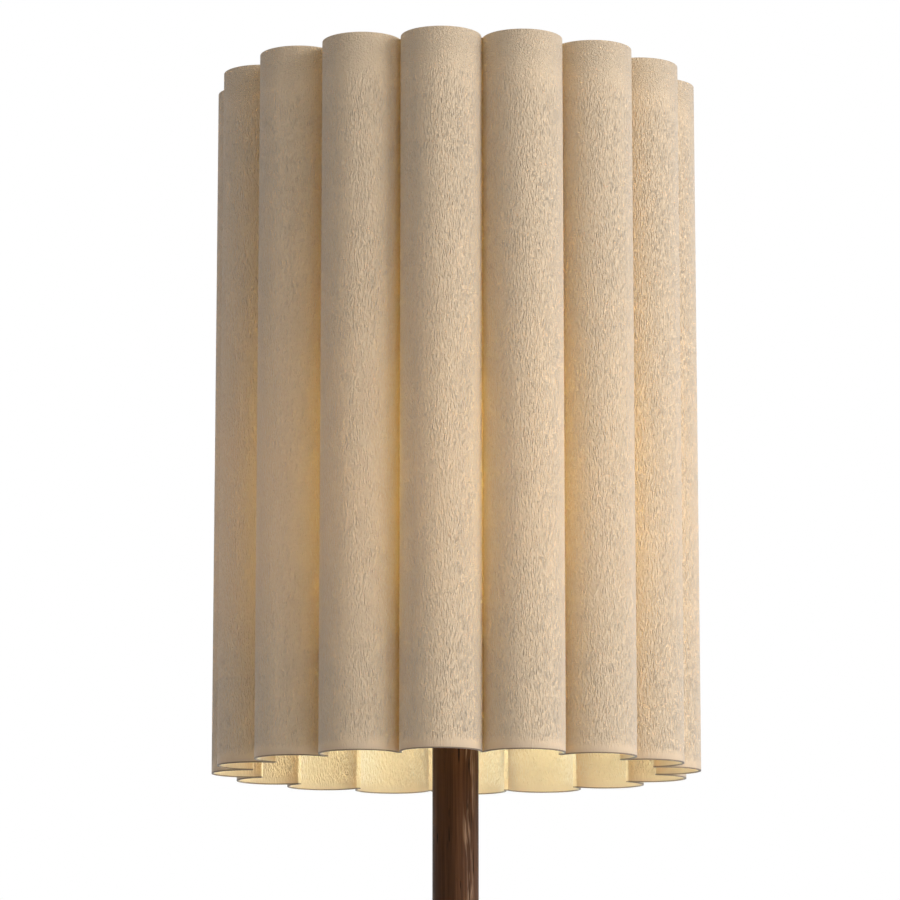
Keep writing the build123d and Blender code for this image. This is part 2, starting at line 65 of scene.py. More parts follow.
Triple = tuple[float, float, float]
Colour = tuple[float, float, float]
Piece = bpy.types.Object
Material = bpy.types.Material
Tree = bpy.types.NodeTree
Node = bpy.types.Node
Socket = bpy.types.NodeSocket
FLOAT = "NodeSocketFloat"
VECTOR = "NodeSocketVector"
WHITE: Colour = (1.0, 1.0, 1.0)
MM = 0.001


# Ways to work on a mesh


def deselect_all() -> None:
    """Leave no object selected and none active."""
    if bpy.context.object is not None and bpy.context.object.mode != "OBJECT":
        bpy.ops.object.mode_set(mode="OBJECT")
    for item in bpy.context.view_layer.objects:
        item.select_set(False)
    bpy.context.view_layer.objects.active = None


def select(*pieces: Piece) -> None:
    """Select these objects alone, the first of them active."""
    deselect_all()
    for piece in pieces:
        piece.select_set(True)
    bpy.context.view_layer.objects.active = pieces[0]


def pick_vertices(test: Callable[[Vector], bool]) -> None:
    """Select the vertices of the mesh in edit mode that pass a test, and no others.

    Args:
        test: says whether a vertex at this place is wanted.
    """
    bpy.ops.mesh.select_mode(type="VERT")
    bpy.ops.mesh.select_all(action="DESELECT")
    mesh = bpy.context.object.data
    work = bmesh.from_edit_mesh(mesh)
    for vertex in work.verts:
        if test(vertex.co):
            vertex.select = True
    work.select_flush_mode()
    bmesh.update_edit_mesh(mesh)


def apply_all(piece: Piece) -> None:
    """Apply every modifier of a piece and put its place into its mesh.

    Args:
        piece: the finished object.
    """
    select(piece)
    for modifier in list(piece.modifiers):
        bpy.ops.object.modifier_apply(modifier=modifier.name)
    bpy.ops.object.transform_apply()


def join_pieces(pieces: Sequence[Piece], name: str) -> Piece:
    """Join several objects into one.

    Args:
        pieces: the objects, the first of which is kept.
        name: the name of the joined object and its mesh.

    Returns:
        The joined object.
    """
    select(*pieces)
    bpy.ops.object.join()
    pieces[0].name = name
    pieces[0].data.name = name
    return pieces[0]


def repeat_round(piece: Piece, angles: Iterable[float]) -> list[Piece]:
    """Copy a finished piece round the upright axis, each copy with its own mesh.

    Args:
        piece: the object to copy, which itself is removed.
        angles: the turns of the copies in degrees.

    Returns:
        The copies.
    """
    copies = []
    for angle in angles:
        twin = piece.copy()
        twin.data = piece.data.copy()
        bpy.context.scene.collection.objects.link(twin)
        twin.data.transform(Euler((0.0, 0.0, math.radians(angle))).to_matrix().to_4x4())
        copies.append(twin)
    bpy.data.objects.remove(piece)
    return copies


def cover(piece: Piece, material: Material) -> None:
    """Give a finished piece one material all over."""
    piece.data.materials.clear()
    piece.data.materials.append(material)
    LOG.info("%s: %d faces, %s", piece.name, len(piece.data.polygons), material.name)


# Ways to build a material


@dataclass
class NodeWork:
    """Adds and joins the nodes of one material or one node group."""

    tree: Tree

    def add(self, kind: str, **settings: object) -> Node:
        """Add a node.

        Args:
            kind: the node's type name without its ShaderNode prefix.
            settings: the node's own properties.

        Returns:
            The new node.
        """
        node = self.tree.nodes.new("ShaderNode" + kind)
        for key, value in settings.items():
            setattr(node, key, value)
        return node

    def put(self, value: object, socket: Socket) -> None:
        """Feed a socket from another socket, or set it to a plain value."""
        if isinstance(value, Socket):
            self.tree.links.new(value, socket)
        elif isinstance(value, tuple) and len(value) == 3 and socket.type == "RGBA":
            socket.default_value = (*value, 1.0)
        else:
            socket.default_value = value

    def feed(self, node: Node, **values: object) -> None:
        """Feed a node's inputs, named with underscores for spaces."""
        for key, value in values.items():
            self.put(value, node.inputs[key.replace("_", " ")])

    def feed_row(self, node: Node, first: int, *values: object) -> Socket:
        """Feed a node's inputs by their place in its row, and return its first output."""
        for index, value in enumerate(values):
            self.put(value, node.inputs[first + index])
        return node.outputs[0]

    def surface(self, shader: Socket) -> None:
        """Make a shader the material's surface."""
        self.feed(self.tree.nodes["Material Output"], Surface=shader)

    def place(self) -> Socket:
        """Return the place on the object in its own coordinates."""
        return self.add("TexCoord").outputs["Object"]

    def facing(self) -> Socket:
        """Return the direction that the surface faces."""
        return self.add("NewGeometry").outputs["Normal"]

    def math(self, operation: str, first: object, second: object = 0.0) -> Socket:
        """Return the outcome of a sum on two numbers."""
        return self.feed_row(self.add("Math", operation=operation), 0, first, second)

    def times(self, first: object, second: object) -> Socket:
        """Return one number times another."""
        return self.math("MULTIPLY", first, second)

    def plus(self, first: object, second: object) -> Socket:
        """Return one number plus another."""
        return self.math("ADD", first, second)

    def minus(self, first: object, second: object) -> Socket:
        """Return one number less another."""
        return self.math("SUBTRACT", first, second)

    def vector(self, operation: str, first: object, second: object) -> Socket:
        """Return the outcome of a sum on two vectors."""
        return self.feed_row(self.add("VectorMath", operation=operation), 0, first, second)

    def length(self, vector: Socket) -> Socket:
        """Return the length of a vector."""
        node = self.add("VectorMath", operation="LENGTH")
        self.put(vector, node.inputs[0])
        return node.outputs["Value"]

    def part(self, vector: Socket, axis: str) -> Socket:
        """Return the X, Y or Z part of a vector."""
        node = self.add("SeparateXYZ")
        self.put(vector, node.inputs[0])
        return node.outputs[axis]

    def moved(
        self,
        vector: Socket,
        scale: Triple = (1.0, 1.0, 1.0),
        turn: Triple = (0.0, 0.0, 0.0),
        shift: Triple = (0.0, 0.0, 0.0),
    ) -> Socket:
        """Return coordinates that are scaled, turned and shifted.

        Args:
            vector: the coordinates.
            scale: how much each axis is stretched.
            turn: the turn about each axis in degrees.
            shift: the shift along each axis.

        Returns:
            The changed coordinates.
        """
        node = self.add("Mapping")
        turned = tuple(math.radians(angle) for angle in turn)
        self.feed(node, Vector=vector, Location=shift, Rotation=turned, Scale=scale)
        return node.outputs["Vector"]

    def noise(
        self, vector: Socket, scale: object, detail: float = 2.0, roughness: float = 0.5
    ) -> Socket:
        """Return a soft random value from 0 to 1 that changes over space."""
        node = self.add("TexNoise")
        self.feed(node, Vector=vector, Scale=scale, Detail=detail, Roughness=roughness)
        return node.outputs["Fac"]

    def cells(self, vector: Socket, scale: float) -> Socket:
        """Return how far each place is from the middle of its own small random cell."""
        node = self.add("TexVoronoi", feature="F1", voronoi_dimensions="3D")
        self.feed(node, Vector=vector, Scale=scale)
        return node.outputs["Distance"]

    def wander(self, vector: Socket, scale: float, reach: float) -> Socket:
        """Return coordinates that stray softly from their place, this far in metres."""
        node = self.add("TexNoise")
        self.feed(node, Vector=vector, Scale=scale, Detail=1.0)
        centred = self.vector("SUBTRACT", node.outputs["Color"], (0.5, 0.5, 0.5))
        scaled = self.add("VectorMath", operation="SCALE")
        self.put(centred, scaled.inputs[0])
        self.feed(scaled, Scale=2.0 * reach)
        return self.vector("ADD", vector, scaled.outputs[0])

    def spread(
        self, value: Socket, start: object, end: object, low: float = 0.0, high: float = 1.0,
        smooth: bool = False,
    ) -> Socket:
        """Return a value moved from one range to another and kept within it.

        Args:
            value: the value.
            start: where the first range starts.
            end: where it ends.
            low: what the start becomes.
            high: what the end becomes.
            smooth: whether the change is eased at both ends.

        Returns:
            The new value.
        """
        node = self.add("MapRange", clamp=True)
        if smooth:
            node.interpolation_type = "SMOOTHSTEP"
        self.feed(node, Value=value, From_Min=start, From_Max=end, To_Min=low, To_Max=high)
        return node.outputs["Result"]

    def ramp(self, value: Socket, stops: Sequence[tuple[float, Colour]]) -> Socket:
        """Return the colour at this place, from 0 to 1, in a row of colours."""
        node = self.add("ValToRGB")
        row = node.color_ramp.elements
        while len(row) < len(stops):
            row.new(0.5)
        for element, (position, colour) in zip(row, stops):
            element.position = position
            element.color = (*colour, 1.0)
        self.put(value, node.inputs[0])
        return node.outputs["Color"]

    def blend(self, share: object, first: object, second: object, way: str = "MIX") -> Socket:
        """Return two colours blended.

        Args:
            share: how much of the second colour is taken.
            first: the first colour.
            second: the second colour.
            way: the kind of blend.

        Returns:
            The blended colour.
        """
        node = self.add("Mix", data_type="RGBA", blend_type=way, clamp_result=True)
        self.put(share, node.inputs[0])
        self.feed_row(node, 6, first, second)
        return node.outputs[2]

    def between(self, share: Socket, first: object, second: object) -> Socket:
        """Return a number between two others."""
        node = self.add("Mix", data_type="FLOAT")
        self.put(share, node.inputs[0])
        return self.feed_row(node, 2, first, second)

    def mixed(self, share: object, first: Socket, second: Socket) -> Socket:
        """Return two shaders mixed, with this share of the second."""
        return self.feed_row(self.add("MixShader"), 0, share, first, second)

    def bump(self, height: Socket, depth: float) -> Socket:
        """Return a normal that shows a height pattern, in which 1 is this many metres deep."""
        node = self.add("Bump")
        self.feed(node, Strength=1.0, Distance=depth, Height=height)
        return node.outputs["Normal"]

    def group(self, tree: Tree, output: str, **values: object) -> Socket:
        """Place a shared node group, feed its inputs and return one output."""
        node = self.add("Group")
        node.node_tree = tree
        self.feed(node, **values)
        return node.outputs[output]


def new_group(
    name: str, inputs: dict[str, tuple[str, object]], output: str
) -> tuple[NodeWork, Node, Socket]:
    """Start a shared node group.

    Args:
        name: the group's name.
        inputs: each input's kind of socket and its usual value.
        output: the name of the number that it puts out.

    Returns:
        The work on the group, its input node and the socket that puts out the number.
    """
    tree = bpy.data.node_groups.new(name, "ShaderNodeTree")
    for label, (kind, value) in inputs.items():
        socket = tree.interface.new_socket(label, in_out="INPUT", socket_type=kind)
        if value is not None:
            socket.default_value = value
    tree.interface.new_socket(output, in_out="OUTPUT", socket_type=FLOAT)
    start = tree.nodes.new("NodeGroupInput")
    end = tree.nodes.new("NodeGroupOutput")
    return NodeWork(tree), start, end.inputs[output]


def fibre_group() -> Tree:
    """Build the shared effect of long fibres or fine lines.

    Returns:
        A node group that puts out a value from 0 to 1.
    """
    work, start, end = new_group(
        "long_fibres",
        {
            "Vector": (VECTOR, None),
            "Fineness": (FLOAT, 900.0),
            "Low": (FLOAT, 0.35),
            "High": (FLOAT, 0.65),
        },
        "Value",
    )
    value = work.noise(start.outputs["Vector"], start.outputs["Fineness"], 3.0, 0.6)
    work.put(work.spread(value, start.outputs["Low"], start.outputs["High"]), end)
    return work.tree


def mottle_group() -> Tree:
    """Build the shared effect of soft uneven patches of two sizes.

    Returns:
        A node group that puts out a value from 0 to 1.
    """
    work, start, end = new_group(
        "soft_mottle",
        {
            "Vector": (VECTOR, None),
            "Patch": (FLOAT, 40.0),
            "Grain": (FLOAT, 900.0),
            "Grain Share": (FLOAT, 0.4),
        },
        "Value",
    )
    patch = work.noise(start.outputs["Vector"], start.outputs["Patch"], 3.0, 0.55)
    grain = work.noise(start.outputs["Vector"], start.outputs["Grain"], 2.0, 0.6)
    mixed = work.between(start.outputs["Grain Share"], patch, grain)
    work.put(work.spread(mixed, 0.3, 0.7), end)
    return work.tree


def dust_group() -> Tree:
    """Build the shared effect of dust that settles where a surface looks up.

    Returns:
        A node group that puts out a mask from 0 to 1.
    """
    work, start, end = new_group(
        "settled_dust", {"Vector": (VECTOR, None), "Amount": (FLOAT, 0.2)}, "Mask"
    )
    upward = work.spread(work.part(work.facing(), "Z"), 0.5, 0.98, smooth=True)
    cloud = work.noise(start.outputs["Vector"], 60.0, 4.0, 0.65)
    specks = work.noise(start.outputs["Vector"], 1400.0, 1.0)
    rough = work.times(work.spread(cloud, 0.35, 0.75), work.spread(specks, 0.4, 0.7))
    work.put(work.times(work.times(upward, rough), start.outputs["Amount"]), end)
    return work.tree


@dataclass
class SharedEffects:
    """The node groups that several finishes use."""

    fibre_tree: Tree
    mottle_tree: Tree
    dust_tree: Tree

    @classmethod
    def build(cls) -> "SharedEffects":
        """Build every shared node group once."""
        return cls(fibre_group(), mottle_group(), dust_group())

    def fibres(
        self, work: NodeWork, vector: Socket, fineness: float, low: float, high: float
    ) -> Socket:
        """Place long fibres or fine lines, which run where the coordinates are pressed."""
        return work.group(
            self.fibre_tree, "Value", Vector=vector, Fineness=fineness, Low=low, High=high
        )

    def mottle(
        self, work: NodeWork, vector: Socket, patch: float, grain: float, share: float
    ) -> Socket:
        """Place soft uneven patches with a share of finer grain in them."""
        return work.group(
            self.mottle_tree, "Value", Vector=vector, Patch=patch, Grain=grain, Grain_Share=share
        )

    def dust(self, work: NodeWork, vector: Socket, amount: float) -> Socket:
        """Place the settled dust and return its mask."""
        return work.group(self.dust_tree, "Mask", Vector=vector, Amount=amount)


def new_material(name: str) -> tuple[Material, NodeWork, Node]:
    """Start a material with one Principled shader.

    Args:
        name: the material's name.

    Returns:
        The material, the work on its nodes and the shader.
    """
    material = bpy.data.materials.new(name)
    material.use_nodes = True
    work = NodeWork(material.node_tree)
    return material, work, material.node_tree.nodes["Principled BSDF"]


@dataclass(frozen=True)
class Finish:
    """The look of one kind of surface."""

    name: str

    def build(self, shared: SharedEffects) -> Material:
        """Build the material.

        Args:
            shared: the shared effects.

        Returns:
            The material.
        """
        material, work, shader = new_material(self.name)
        self.lay_out(work, shader, shared)
        return material

    def lay_out(self, work: NodeWork, shader: Node, shared: SharedEffects) -> None:
        """Lay out the nodes that feed the material's surface.

        Args:
            work: the work on the material.
            shader: its Principled shader.
            shared: the shared effects.
        """
        raise NotImplementedError


class Grain(Enum):
    """Which way the grain of a wooden piece runs, as the turn of its pattern in degrees."""

    UPRIGHT = (0.0, 0.0, 0.0)
    ACROSS = (0.0, 90.0, 0.0)

    @property
    def end_axis(self) -> str:
        """Return the axis that the end grain faces."""
        return "Z" if self is Grain.UPRIGHT else "X"


@dataclass(frozen=True)
class WalnutFinish(Finish):
    """Oiled dark walnut with coarse open grain."""

    grain: Grain
    shift: Triple
    ring_centre: tuple[float, float] = (0.050, 0.035)
    ring_fineness: float = 190.0
    fibre_fineness: float = 950.0
    band_fineness: float = 95.0
    streak_fineness: float = 430.0
    pore_fineness: float = 600.0
    specular: float = 0.07
    relief: float = 0.22 * MM
    darkest: Colour = (0.024, 0.0095, 0.0042)
    dark: Colour = (0.056, 0.0245, 0.0110)
    middle: Colour = (0.092, 0.0400, 0.0180)
    pale: Colour = (0.235, 0.1450, 0.0930)
    pore: Colour = (0.006, 0.004, 0.003)
    dust: Colour = (0.42, 0.40, 0.37)
    dust_amount: float = 0.10

    def _rings(self, work: NodeWork, along: Socket) -> Socket:
        """Return a soft value that changes from growth ring to growth ring."""
        ring_x = work.minus(work.part(along, "X"), self.ring_centre[0])
        ring_y = work.minus(work.part(along, "Y"), self.ring_centre[1])
        squares = work.plus(work.times(ring_x, ring_x), work.times(ring_y, ring_y))
        row = work.add("CombineXYZ")
        work.feed(row, X=work.math("SQRT", squares), Y=work.times(work.part(along, "Z"), 0.02))
        return work.noise(row.outputs[0], self.ring_fineness, 3.0, 0.62)

    def lay_out(self, work: NodeWork, shader: Node, shared: SharedEffects) -> None:
        """Lay out the material's nodes."""
        place = work.moved(work.place(), turn=self.grain.value, shift=self.shift)
        along = work.wander(work.moved(place, (1.0, 1.0, 0.16)), 24.0, 3.0 * MM)
        base = work.ramp(
            work.spread(self._rings(work, along), 0.26, 0.74),
            [(0.0, self.dark), (0.42, self.dark), (0.62, self.middle), (1.0, self.middle)],
        )
        fine = shared.fibres(
            work, work.moved(along, (1.0, 1.0, 0.10)), self.fibre_fineness, 0.34, 0.66
        )
        base = work.blend(work.times(fine, 0.72), base, self.darkest)
        ragged = work.wander(work.moved(along, (1.0, 1.0, 0.80)), 210.0, 1.2 * MM)
        band = work.noise(work.moved(along, (1.0, 1.0, 0.16)), self.band_fineness, 1.0)
        band = work.spread(band, 0.54, 0.64)
        thin = shared.fibres(
            work, work.moved(ragged, (1.0, 1.0, 0.45), shift=(3.0, 1.0, 0.0)),
            self.streak_fineness, 0.50, 0.64,
        )
        end_grain = work.math("ABSOLUTE", work.part(work.facing(), self.grain.end_axis))
        along_grain = work.spread(end_grain, 0.25, 0.65, 1.0, 0.0, smooth=True)
        streak = work.times(work.times(band, thin), along_grain)
        base = work.blend(streak, base, self.pale)
        pores = work.noise(
            work.moved(ragged, (1.0, 1.0, 0.55), shift=(0.0, 5.0, 0.0)), self.pore_fineness, 1.0
        )
        pores = work.spread(pores, work.between(band, 0.66, 0.58), 0.74, smooth=True)
        base = work.blend(work.times(pores, 0.9), base, self.pore)
        base = work.blend(shared.dust(work, place, self.dust_amount), base, self.dust)
        height = work.plus(work.minus(work.times(fine, -0.25), pores), work.times(streak, 0.25))
        work.feed(
            shader,
            Base_Color=base,
            Roughness=work.between(pores, work.between(fine, 0.46, 0.60), 0.85),
            Specular_IOR_Level=self.specular,
            Normal=work.bump(height, self.relief),
        )


@dataclass(frozen=True)
class PaperFinish(Finish):
    """Beige crinkled paper that lets the light of a bulb through."""

    bottom: float
    top: float
    colour: Colour = (0.85, 0.685, 0.49)
    cloudy: Colour = (0.62, 0.51, 0.38)
    # Painted shade: a darker colour laid into the crinkle's low places.
    painted_crease_shade_colour: Colour = (0.52, 0.37, 0.22)
    # Painted glow and shade: a warmer, darker base colour close to the folds.
    painted_fold_glow_colour: Colour = (0.86, 0.60, 0.33)
    # A darker colour towards the lower rim.
    darker_rim_band_colour: Colour = (0.50, 0.39, 0.30)
    # Painted shade: the dark rim line along the sheet's lower edge, in its colour and in the light
    # it lets through.
    edge: Colour = (0.25, 0.18, 0.13)
    through: Colour = (0.455, 0.335, 0.223)
    valley_glow: Colour = (0.45, 0.34, 0.22)
    fold_glow: Colour = (0.90, 0.74, 0.44)
    seam_glow: Colour = (0.76, 0.62, 0.33)
    painted_rim_shade_through: Colour = (0.12, 0.07, 0.04)
    share_through: float = 0.34
    strand_fineness: float = 1300.0
    dash_fineness: float = 1050.0
    grain_fineness: float = 1050.0
    depth: float = 0.95 * MM
    specular: float = 0.20
    sheen: float = 1.0
    sheen_roughness: float = 0.4

    def _crinkle(self, work: NodeWork, place: Socket, up: Socket) -> Socket:
        """Return the crinkle: upright strokes, a plain grain near the top, less at the rim."""
        loose = work.wander(place, 300.0, 0.5 * MM)
        patches = work.noise(work.moved(place, (1.0, 1.0, 0.6)), 110.0, 2.0)
        strands = work.noise(work.moved(loose, (1.0, 1.0, 0.26)), self.strand_fineness, 1.0, 0.5)
        strands = work.spread(strands, 0.38, 0.64, smooth=True)
        dashes = work.cells(
            work.moved(loose, (1.0, 1.0, 0.21), shift=(0.5, 0.0, 0.0)), self.dash_fineness
        )
        dashes = work.spread(dashes, 0.08, 0.58, 1.0, 0.0, smooth=True)
        strokes = work.plus(work.times(strands, 0.55), work.times(dashes, 0.60))
        strokes = work.times(strokes, work.spread(patches, 0.34, 0.60, 0.80, 1.0))
        grain = work.spread(work.noise(loose, self.grain_fineness, 1.0, 0.6), 0.30, 0.70)
        near_top = work.spread(
            work.plus(up, work.times(patches, 16.0 * MM)),
            self.top - 36.0 * MM, self.top - 2.0 * MM, smooth=True,
        )
        height = work.between(near_top, strokes, work.times(grain, 0.80))
        pressed_flat = work.spread(
            up, self.bottom + 3.0 * MM, self.bottom + 9.0 * MM, 0.15, 1.0, smooth=True
        )
        return work.times(height, pressed_flat)

    def lay_out(self, work: NodeWork, shader: Node, shared: SharedEffects) -> None:
        """Lay out the material's nodes."""
        place = work.place()
        up = work.part(place, "Z")
        height = self._crinkle(work, place, up)
        soft = shared.mottle(work, place, 38.0, 700.0, 0.35)
        # valley marks the crinkle's low places; the base colour is darkened there as painted shade
        # in its creases.
        valley = work.spread(height, 0.05, 0.55, 0.06, 0.0)
        out = work.length(work.moved(place, (1.0, 1.0, 0.0)))
        fold = work.spread(out, 134.5 * MM, 154.5 * MM, 1.0, 0.0)
        seam = work.spread(out, 132.8 * MM, 135.0 * MM, 1.0, 0.0, smooth=True)
        # Painted glow and shade: close to each fold, short of its nose, the base colour turns
        # warmer and darker.
        painted_fold_glow_share = work.times(
            work.spread(out, 133.0 * MM, 138.0 * MM, 0.6, 0.0, smooth=True),
            work.spread(out, 131.7 * MM, 132.1 * MM),
        )
        # The base colour turns darker over the last 8 mm towards the lower rim.
        darker_rim_band = work.spread(up, self.bottom + 8.0 * MM, self.bottom, 0.0, 0.35, smooth=True)
        # Painted shade: the lowest millimetre of the sheet is darkened, in its colour and in the
        # light it lets through.
        cut = work.spread(up, self.bottom + 0.9 * MM, self.bottom + 0.4 * MM, 0.0, 1.0)
        colour = work.blend(work.times(soft, 0.05), self.colour, self.cloudy)
        colour = work.blend(valley, colour, self.painted_crease_shade_colour)
        colour = work.blend(painted_fold_glow_share, colour, self.painted_fold_glow_colour)
        colour = work.blend(darker_rim_band, colour, self.darker_rim_band_colour)
        relief = work.bump(height, self.depth)
        work.feed(
            shader,
            Base_Color=work.blend(cut, colour, self.edge),
            Roughness=work.between(soft, 0.78, 0.90),
            Specular_IOR_Level=self.specular,
            Sheen_Weight=self.sheen,
            Sheen_Roughness=self.sheen_roughness,
            Normal=relief,
        )
        light = work.blend(valley, self.through, self.valley_glow)
        light = work.blend(fold, light, self.fold_glow)
        light = work.blend(seam, light, self.seam_glow)
        glow = work.add("BsdfTranslucent")
        work.feed(glow, Color=work.blend(cut, light, self.painted_rim_shade_through), Normal=relief)
        work.surface(work.mixed(self.share_through, shader.outputs[0], glow.outputs[0]))


@dataclass(frozen=True)
class MetalFinish(Finish):
    """Bare metal with turning lines, faint patches and handling marks."""

    colour: Colour
    stain: Colour
    roughness: float = 0.32
    line_stretch: Triple = (0.06, 0.06, 1.0)
    line_fineness: float = 2600.0
    line_colour: Colour = (0.92, 0.92, 0.92)
    line_depth: float = 0.01 * MM
    dust: Colour = (0.45, 0.42, 0.38)
    dust_amount: float = 0.12

    def lay_out(self, work: NodeWork, shader: Node, shared: SharedEffects) -> None:
        """Lay out the material's nodes."""
        place = work.place()
        lines = shared.fibres(
            work, work.moved(place, self.line_stretch), self.line_fineness, 0.3, 0.7
        )
        patches = shared.mottle(work, place, 140.0, 2200.0, 0.3)
        colour = work.blend(work.spread(patches, 0.35, 1.0, 0.0, 0.55), self.colour, self.stain)
        colour = work.blend(work.times(lines, 0.12), colour, self.line_colour, "MULTIPLY")
        dust = shared.dust(work, place, self.dust_amount)
        rough = work.between(patches, self.roughness, self.roughness + 0.16)
        rough = work.plus(rough, work.times(lines, 0.06))
        work.feed(
            shader,
            Base_Color=work.blend(dust, colour, self.dust),
            Metallic=1.0,
            Roughness=work.between(dust, rough, 0.85),
            Normal=work.bump(lines, self.line_depth),
        )


@dataclass(frozen=True)
class CoatFinish(Finish):
    """A painted, powder-coated, moulded or glazed surface with its fine skin."""

    colour: Colour
    shade: Colour
    roughness: float = 0.42
    skin_fineness: float = 900.0
    skin_depth: float = 0.03 * MM
    coat: float = 0.0
    coat_roughness: float = 0.08
    dust: Colour = (0.40, 0.38, 0.35)
    dust_amount: float = 0.25

    def lay_out(self, work: NodeWork, shader: Node, shared: SharedEffects) -> None:
        """Lay out the material's nodes."""
        place = work.place()
        patches = shared.mottle(work, place, 90.0, self.skin_fineness, 0.5)
        skin = work.noise(place, self.skin_fineness, 2.0, 0.55)
        slanting = work.moved(place, (1.0, 0.25, 0.25), turn=(20.0, 35.0, 50.0))
        scuff = shared.fibres(work, slanting, 700.0, 0.66, 0.74)
        dust = shared.dust(work, place, self.dust_amount)
        rough = work.between(patches, self.roughness, self.roughness + 0.10)
        rough = work.plus(rough, work.times(scuff, 0.14))
        work.feed(
            shader,
            Base_Color=work.blend(dust, work.blend(patches, self.colour, self.shade), self.dust),
            Roughness=work.between(dust, rough, 0.9),
            Coat_Weight=self.coat,
            Coat_Roughness=self.coat_roughness,
            Normal=work.bump(skin, self.skin_depth),
        )


@dataclass(frozen=True)
class CastIronFinish(Finish):
    """Sand-cast iron under a thin dark primer."""

    name: str = "cast_iron_primer"
    colour: Colour = (0.105, 0.105, 0.112)
    bare: Colour = (0.17, 0.155, 0.145)
    pit: Colour = (0.035, 0.030, 0.028)
    metallic: float = 0.35
    depth: float = 0.35 * MM

    def lay_out(self, work: NodeWork, shader: Node, shared: SharedEffects) -> None:
        """Lay out the material's nodes."""
        place = work.place()
        sand = work.noise(place, 620.0, 4.0, 0.65)
        lumps = work.noise(place, 120.0, 3.0, 0.5)
        pits = work.spread(work.noise(place, 420.0, 1.0), 0.66, 0.74, smooth=True)
        patches = shared.mottle(work, place, 35.0, 500.0, 0.4)
        colour = work.blend(patches, self.colour, self.bare)
        height = work.minus(work.plus(work.times(sand, 0.5), lumps), pits)
        work.feed(
            shader,
            Base_Color=work.blend(pits, colour, self.pit),
            Metallic=self.metallic,
            Roughness=work.between(sand, 0.58, 0.82),
            Normal=work.bump(height, self.depth),
        )


@dataclass(frozen=True)
class FeltFinish(Finish):
    """Pressed felt with short tangled fibres."""

    name: str = "pressed_felt"
    colour: Colour = (0.060, 0.056, 0.053)
    fibre: Colour = (0.135, 0.128, 0.120)
    depth: float = 0.30 * MM

    def lay_out(self, work: NodeWork, shader: Node, shared: SharedEffects) -> None:
        """Lay out the material's nodes."""
        place = work.place()
        tangle = work.wander(place, 500.0, 1.2 * MM)
        one_way = work.moved(tangle, (1.0, 0.14, 0.5), turn=(0.0, 0.0, 35.0))
        other_way = work.moved(tangle, (0.14, 1.0, 0.5), turn=(0.0, 0.0, 70.0))
        fibres = work.math(
            "MAXIMUM",
            shared.fibres(work, one_way, 1500.0, 0.48, 0.62),
            shared.fibres(work, other_way, 1300.0, 0.48, 0.62),
        )
        clumps = shared.mottle(work, place, 70.0, 600.0, 0.3)
        share = work.times(fibres, work.spread(clumps, 0.0, 1.0, 0.35, 0.9))
        height = work.plus(fibres, work.times(clumps, 0.6))
        work.feed(
            shader,
            Base_Color=work.blend(share, self.colour, self.fibre),
            Roughness=0.95,
            Specular_IOR_Level=0.12,
            Sheen_Weight=0.25,
            Sheen_Roughness=0.6,
            Normal=work.bump(height, self.depth),
        )


@dataclass(frozen=True)
class LitGlassFinish(Finish):
    """The frosted glass of a burning bulb, brightest round its middle."""

    light_centre: float
    colour: Colour = (0.21, 0.20, 0.18)
    frost: Colour = (0.28, 0.26, 0.22)
    middle: Colour = (1.0, 0.87, 0.66)
    rim: Colour = (1.0, 0.70, 0.40)
    light: float = 0.74
    frost_depth: float = 0.02 * MM

    def lay_out(self, work: NodeWork, shader: Node, shared: SharedEffects) -> None:
        """Lay out the material's nodes."""
        place = work.place()
        frost = shared.mottle(work, place, 160.0, 2400.0, 0.5)
        away = work.math("ABSOLUTE", work.minus(work.part(place, "Z"), self.light_centre))
        warm = work.spread(away, 12.0 * MM, 42.0 * MM, smooth=True)
        work.feed(
            shader,
            Base_Color=work.blend(work.times(frost, 0.50), self.colour, self.frost),
            Emission_Color=work.blend(warm, self.middle, self.rim),
            Emission_Strength=self.light,
            Roughness=work.between(frost, 0.42, 0.52),
            Normal=work.bump(frost, self.frost_depth),
        )


# The sub-assemblies


def dress_nodes(material: Material, *names: str) -> None:
    """Give CAD nodes a material.

    Args:
        material: the material.
        names: the nodes.
    """
    for name in names:
        for slot in frame["nodes"][name].material_slots:
            slot.material = material
    LOG.info("%s: %s", material.name, ", ".join(names))


@dataclass
class WeightedBase:
    """The round wooden foot with its iron weight, felt and cord inlet."""

    shift: Triple = (0.012, 0.021, 0.035)

    def dress(self, shared: SharedEffects, finishes: "SharedFinishes") -> None:
        """Dress the base's nodes."""
        wood = WalnutFinish(
            "walnut_base", Grain.ACROSS, self.shift, ring_centre=(0.085, 0.010), ring_fineness=150.0
        )
        dress_nodes(wood.build(shared), "base_disc")
        dress_nodes(FeltFinish().build(shared), "felt_pad")
        dress_nodes(CastIronFinish().build(shared), "base_weight")
        dress_nodes(finishes.steel, "weight_screws", "base_washer", "base_nut")
        dress_nodes(finishes.black_plastic, "cord_bushing")


@dataclass
class TubedPole:
    """The wooden pole in two lengths on its threaded tube."""

    lower_shift: Triple = (0.0, 0.0, 0.0)
    upper_shift: Triple = (0.031, 0.017, 0.27)

    def dress(self, shared: SharedEffects, finishes: "SharedFinishes") -> None:
        """Dress the pole's nodes."""
        lower = WalnutFinish("walnut_pole_lower", Grain.UPRIGHT, self.lower_shift)
        upper = WalnutFinish("walnut_pole_upper", Grain.UPRIGHT, self.upper_shift)
        dress_nodes(lower.build(shared), "pole_lower")
        dress_nodes(upper.build(shared), "pole_upper")
        dress_nodes(finishes.black_metal, "pole_cap")
        dress_nodes(finishes.steel, "pipe_lower", "pipe_upper", "holder_locknut")
        dress_nodes(finishes.brass, "pipe_coupler")


